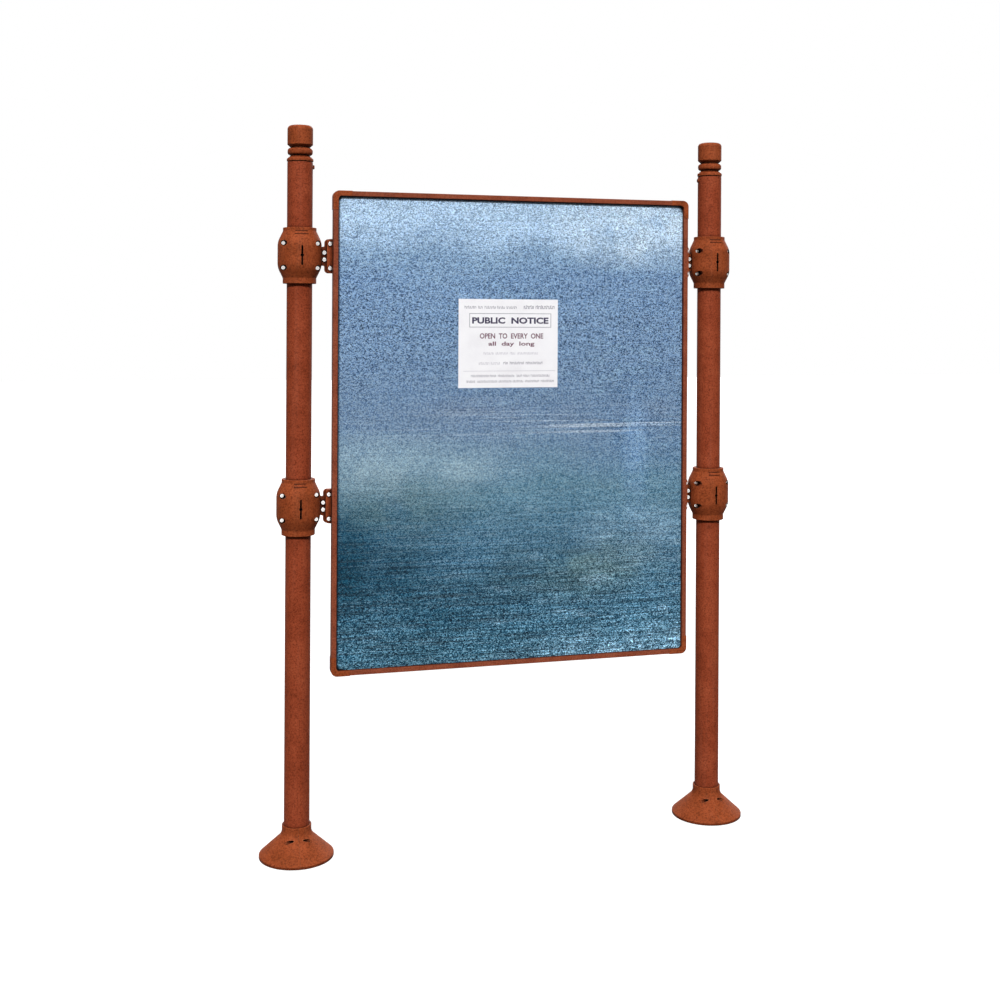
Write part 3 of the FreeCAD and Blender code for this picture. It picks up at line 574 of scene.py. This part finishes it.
for name, sort in printWords.items():
    bm = bmesh.new()
    for words, left, right, top, tall in sort["lines"]:
        addWords(bm, words, sort["bold"], left, right, top, tall)
    ink = printInk("offsetInk" + name[5:], *sort["ink"])
    addPiece(name, bm, ink, "board", smooth=False)

for name, sort in printRows.items():
    bm = bmesh.new()
    beat = 0
    for start, end, top, tall, step, stroke, breaks in sort["rows"]:
        stops = [start] + [start + share * (end - start) for share in breaks] + [end]
        for wordStart, wordEnd in zip(stops, stops[1:]):
            x = wordStart
            last = wordEnd if wordEnd == end else wordEnd - step
            while x + stroke <= last:
                addBlock(bm, x, x + stroke, top + tall * liftBeat[beat % len(liftBeat)], top + tall)
                onward = x + step * stepBeat[beat % len(stepBeat)]
                if onward + stroke <= last:  # a bar to the next stroke, at the foot or the head by turns
                    barTop = top + tall - stroke if beat % 2 else top + tall * liftBeat[1]
                    addBlock(bm, x + stroke, onward, barTop, barTop + stroke)
                x = onward
                beat += 1
    for left, right, top, bottom in sort["rules"]:
        addBlock(bm, left, right, top, bottom)
    ink = printInk("offsetInk" + name[5:], *sort["ink"])
    addPiece(name, bm, ink, "board", smooth=False)
print("notice printed")

weldLook = {"sides": 10, "rippleSteps": 4, "endShare": 0.5, "rippleMean": 0.86, "rippleSwing": 0.14,
            "lugRadius": 0.0026, "lugRipples": 22, "lugInset": 0.012, "footRadius": 0.0042, "footSteps": 96,
            "tackRadius": 0.0030, "tackSpacing": 0.21, "tackShape": (2.2, 0.6, 0.8)}  # long, deep, wide


# weld bead: a row of overlapping ripples drawn along a straight seam
def weldBead(start, end, radius, ripples):
    start = Vector(start)
    run = Vector(end) - start
    turn = run.to_track_quat("Z", "Y").to_matrix().to_4x4()
    bm = bmesh.new()
    ring = bmesh.ops.create_circle(bm, cap_ends=True, segments=weldLook["sides"],
                                   radius=radius * weldLook["endShare"],
                                   matrix=Matrix.Translation(start) @ turn)
    edges = list({e for v in ring["verts"] for e in v.link_edges})
    steps = ripples * weldLook["rippleSteps"]
    size = weldLook["endShare"]
    for i in range(1, steps + 1):
        grown = bmesh.ops.extrude_edge_only(bm, edges=edges)["geom"]
        verts = [g for g in grown if isinstance(g, bmesh.types.BMVert)]
        edges = [g for g in grown if isinstance(g, bmesh.types.BMEdge)]
        phase = 2 * math.pi * i / weldLook["rippleSteps"]
        wanted = weldLook["rippleMean"] + weldLook["rippleSwing"] * math.cos(phase)
        if i == steps:
            wanted = weldLook["endShare"]
        bmesh.ops.translate(bm, verts=verts, vec=run / steps)
        middle = start + run * (i / steps)
        bmesh.ops.scale(bm, verts=verts, vec=Vector((1, 1, 1)) * (wanted / size),
                        space=Matrix.Translation(-middle))
        size = wanted
    bmesh.ops.holes_fill(bm, edges=edges, sides=0)
    return bm


for level in ("upper", "lower"):
    for side, sign in (("left", -1), ("right", 1)):
        lugLow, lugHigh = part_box("lug_" + level + "_" + side)
        railLow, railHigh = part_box("rail_" + side)
        z0 = lugLow.z + weldLook["lugInset"]
        z1 = lugHigh.z - weldLook["lugInset"]
        seams = {"outer": railLow.x if sign < 0 else railHigh.x, "inner": lugHigh.x if sign < 0 else lugLow.x}
        for seam, x in seams.items():
            bm = weldBead((x, lugLow.y, z0), (x, lugLow.y, z1), weldLook["lugRadius"], weldLook["lugRipples"])
            addPiece("weld_" + seam + "_" + level + "_" + side, bm, castPaint, "board")

for side in ("left", "right"):  # fillet ring between post and base plate
    postLow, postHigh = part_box(side + "_post")
    axis = (postLow.x + postHigh.x) / 2
    radius = (postHigh.x - postLow.x) / 2
    upright = Matrix.Translation((axis + radius, 0, postLow.z)) @ Matrix.Rotation(math.pi / 2, 4, "X")
    bm = bmesh.new()
    bmesh.ops.create_circle(bm, segments=weldLook["sides"], radius=weldLook["footRadius"], matrix=upright)
    bmesh.ops.spin(bm, geom=bm.verts[:] + bm.edges[:], cent=(axis, 0, postLow.z), axis=(0, 0, 1),
                   angle=2 * math.pi, steps=weldLook["footSteps"], use_merge=True)
    addPiece("weld_foot_" + side, bm, plateZinc, "posts")

# tack welds that hold the sheet to the flange behind it
sheetLow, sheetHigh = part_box("sheet")
flange = {"left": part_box("rail_left")[1].x, "right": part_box("rail_right")[0].x,
          "bottom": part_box("rail_bottom")[1].z, "top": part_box("rail_top")[0].z}
tacks = []
rows = int((sheetHigh.z - sheetLow.z) / weldLook["tackSpacing"])
columns = int((sheetHigh.x - sheetLow.x) / weldLook["tackSpacing"])
for i in range(rows):
    z = sheetLow.z + (i + 0.5) * (sheetHigh.z - sheetLow.z) / rows
    tacks += [(flange["left"], z, False), (flange["right"], z, False)]
for i in range(columns):
    x = sheetLow.x + (i + 0.5) * (sheetHigh.x - sheetLow.x) / columns
    tacks += [(x, flange["bottom"], True), (x, flange["top"], True)]
tackLong, tackDeep, tackWide = weldLook["tackShape"]
bm = bmesh.new()
for x, z, lies in tacks:
    size = (tackLong, tackDeep, tackWide, 1) if lies else (tackWide, tackDeep, tackLong, 1)
    bmesh.ops.create_icosphere(bm, subdivisions=2, radius=weldLook["tackRadius"],
                               matrix=Matrix.Translation((x, sheetHigh.y, z)) @ Matrix.Diagonal(size))
addPiece("weld_tacks", bm, plateZinc, "board")
print("welds done")

# two plain raised ribs on the neck of each collar's front shell
ribLook = {"rows": ((0.0765, 0.0524), (0.0670, 0.0570)),  # height over the collar's middle, radius
           "halfAngle": 21.0, "proud": 0.0014, "halfHeight": 0.0018, "sides": 8, "steps": 18,
           "colours": [(0.28, "#4a2113"), (0.50, "#5a2a19"), (0.74, "#6b3421")]}  # painted shade: dark so that the raised ribs show as dark lines
ribShadePaint = powderCoat("powderCoatedRibPaintedShade", dict(castLook, colours=ribLook["colours"]))
ribTurn = math.radians(ribLook["halfAngle"])
ribShape = Matrix.Diagonal((ribLook["halfHeight"], ribLook["proud"], 1, 1))
for level in ("upper", "lower"):
    for side in ("left", "right"):
        shellLow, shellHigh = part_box("collar_front_" + level + "_" + side)
        postLow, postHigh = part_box(side + "_post")
        centre = Vector(((postLow.x + postHigh.x) / 2, 0, (shellLow.z + shellHigh.z) / 2))
        bm = bmesh.new()
        for height, radius in ribLook["rows"]:
            bar = bmesh.ops.create_circle(bm, cap_ends=True, segments=ribLook["sides"], radius=1.0)
            turn = Matrix.Translation(centre) @ Matrix.Rotation(ribTurn, 4, "Z")
            spot = turn @ Matrix.Translation((0, -radius, height)) @ Matrix.Rotation(math.pi / 2, 4, "Y")
            bmesh.ops.transform(bm, matrix=spot @ ribShape, verts=bar["verts"])
            faces = list({f for v in bar["verts"] for f in v.link_faces})
            bmesh.ops.spin(bm, geom=faces, cent=centre, axis=(0, 0, 1), steps=ribLook["steps"],
                           angle=-2 * ribTurn, use_merge=False)
        addPiece("ribs_" + level + "_" + side, bm, ribShadePaint, "board")
print("ribs done")
